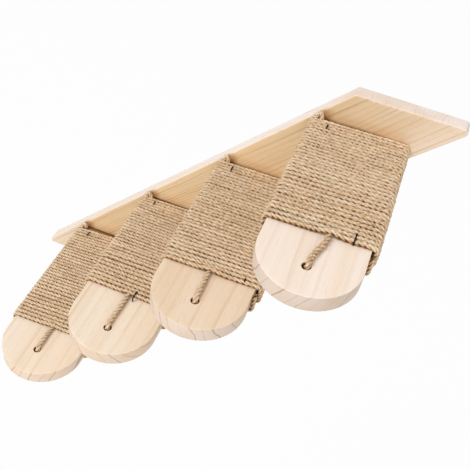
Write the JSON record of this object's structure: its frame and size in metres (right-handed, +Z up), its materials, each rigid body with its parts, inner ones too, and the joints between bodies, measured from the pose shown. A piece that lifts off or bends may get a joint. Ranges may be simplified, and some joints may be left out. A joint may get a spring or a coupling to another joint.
{
  "type": "cat wall shelf",
  "caption": "Wall stairway for cats: round-nosed wooden treads wound with rope stand out of one slanting back board that hangs on keyhole plates.",
  "frame": {"origin": "middle of the back board's back face, where the board meets the wall", "axes": "+Z up, +X to the right along the wall, the way the stair climbs, +Y into the wall"},
  "size_m": [0.4904, 0.263, 0.405],
  "materials": {
    "pine_board": "bare sanded pine, straight grain along the board",
    "pine_tread": "bare sanded pale pine, grain along the tread",
    "jute": "natural three-strand twisted jute",
    "staple_steel": "black coated wire",
    "zinc_steel": "bright zinc plate"
  },
  "bodies": {
    "root": {"back_board": "pine_board", "tread_1": "pine_tread", "tread_2": "pine_tread", "tread_3": "pine_tread", "tread_4": "pine_tread", "rope_1": "jute", "rope_2": "jute", "rope_3": "jute", "rope_4": "jute", "start_staple_1": "staple_steel", "start_staple_2": "staple_steel", "start_staple_3": "staple_steel", "start_staple_4": "staple_steel", "end_staple_1": "staple_steel", "end_staple_2": "staple_steel", "end_staple_3": "staple_steel", "end_staple_4": "staple_steel", "tread_screw_1_1": "zinc_steel", "tread_screw_1_2": "zinc_steel", "tread_screw_2_1": "zinc_steel", "tread_screw_2_2": "zinc_steel", "tread_screw_3_1": "zinc_steel", "tread_screw_3_2": "zinc_steel", "tread_screw_4_1": "zinc_steel", "tread_screw_4_2": "zinc_steel", "hanger_1": "zinc_steel", "hanger_2": "zinc_steel", "hanger_screw_1_1": "zinc_steel", "hanger_screw_1_2": "zinc_steel", "hanger_screw_2_1": "zinc_steel", "hanger_screw_2_2": "zinc_steel"}
  },
  "joints": []
}
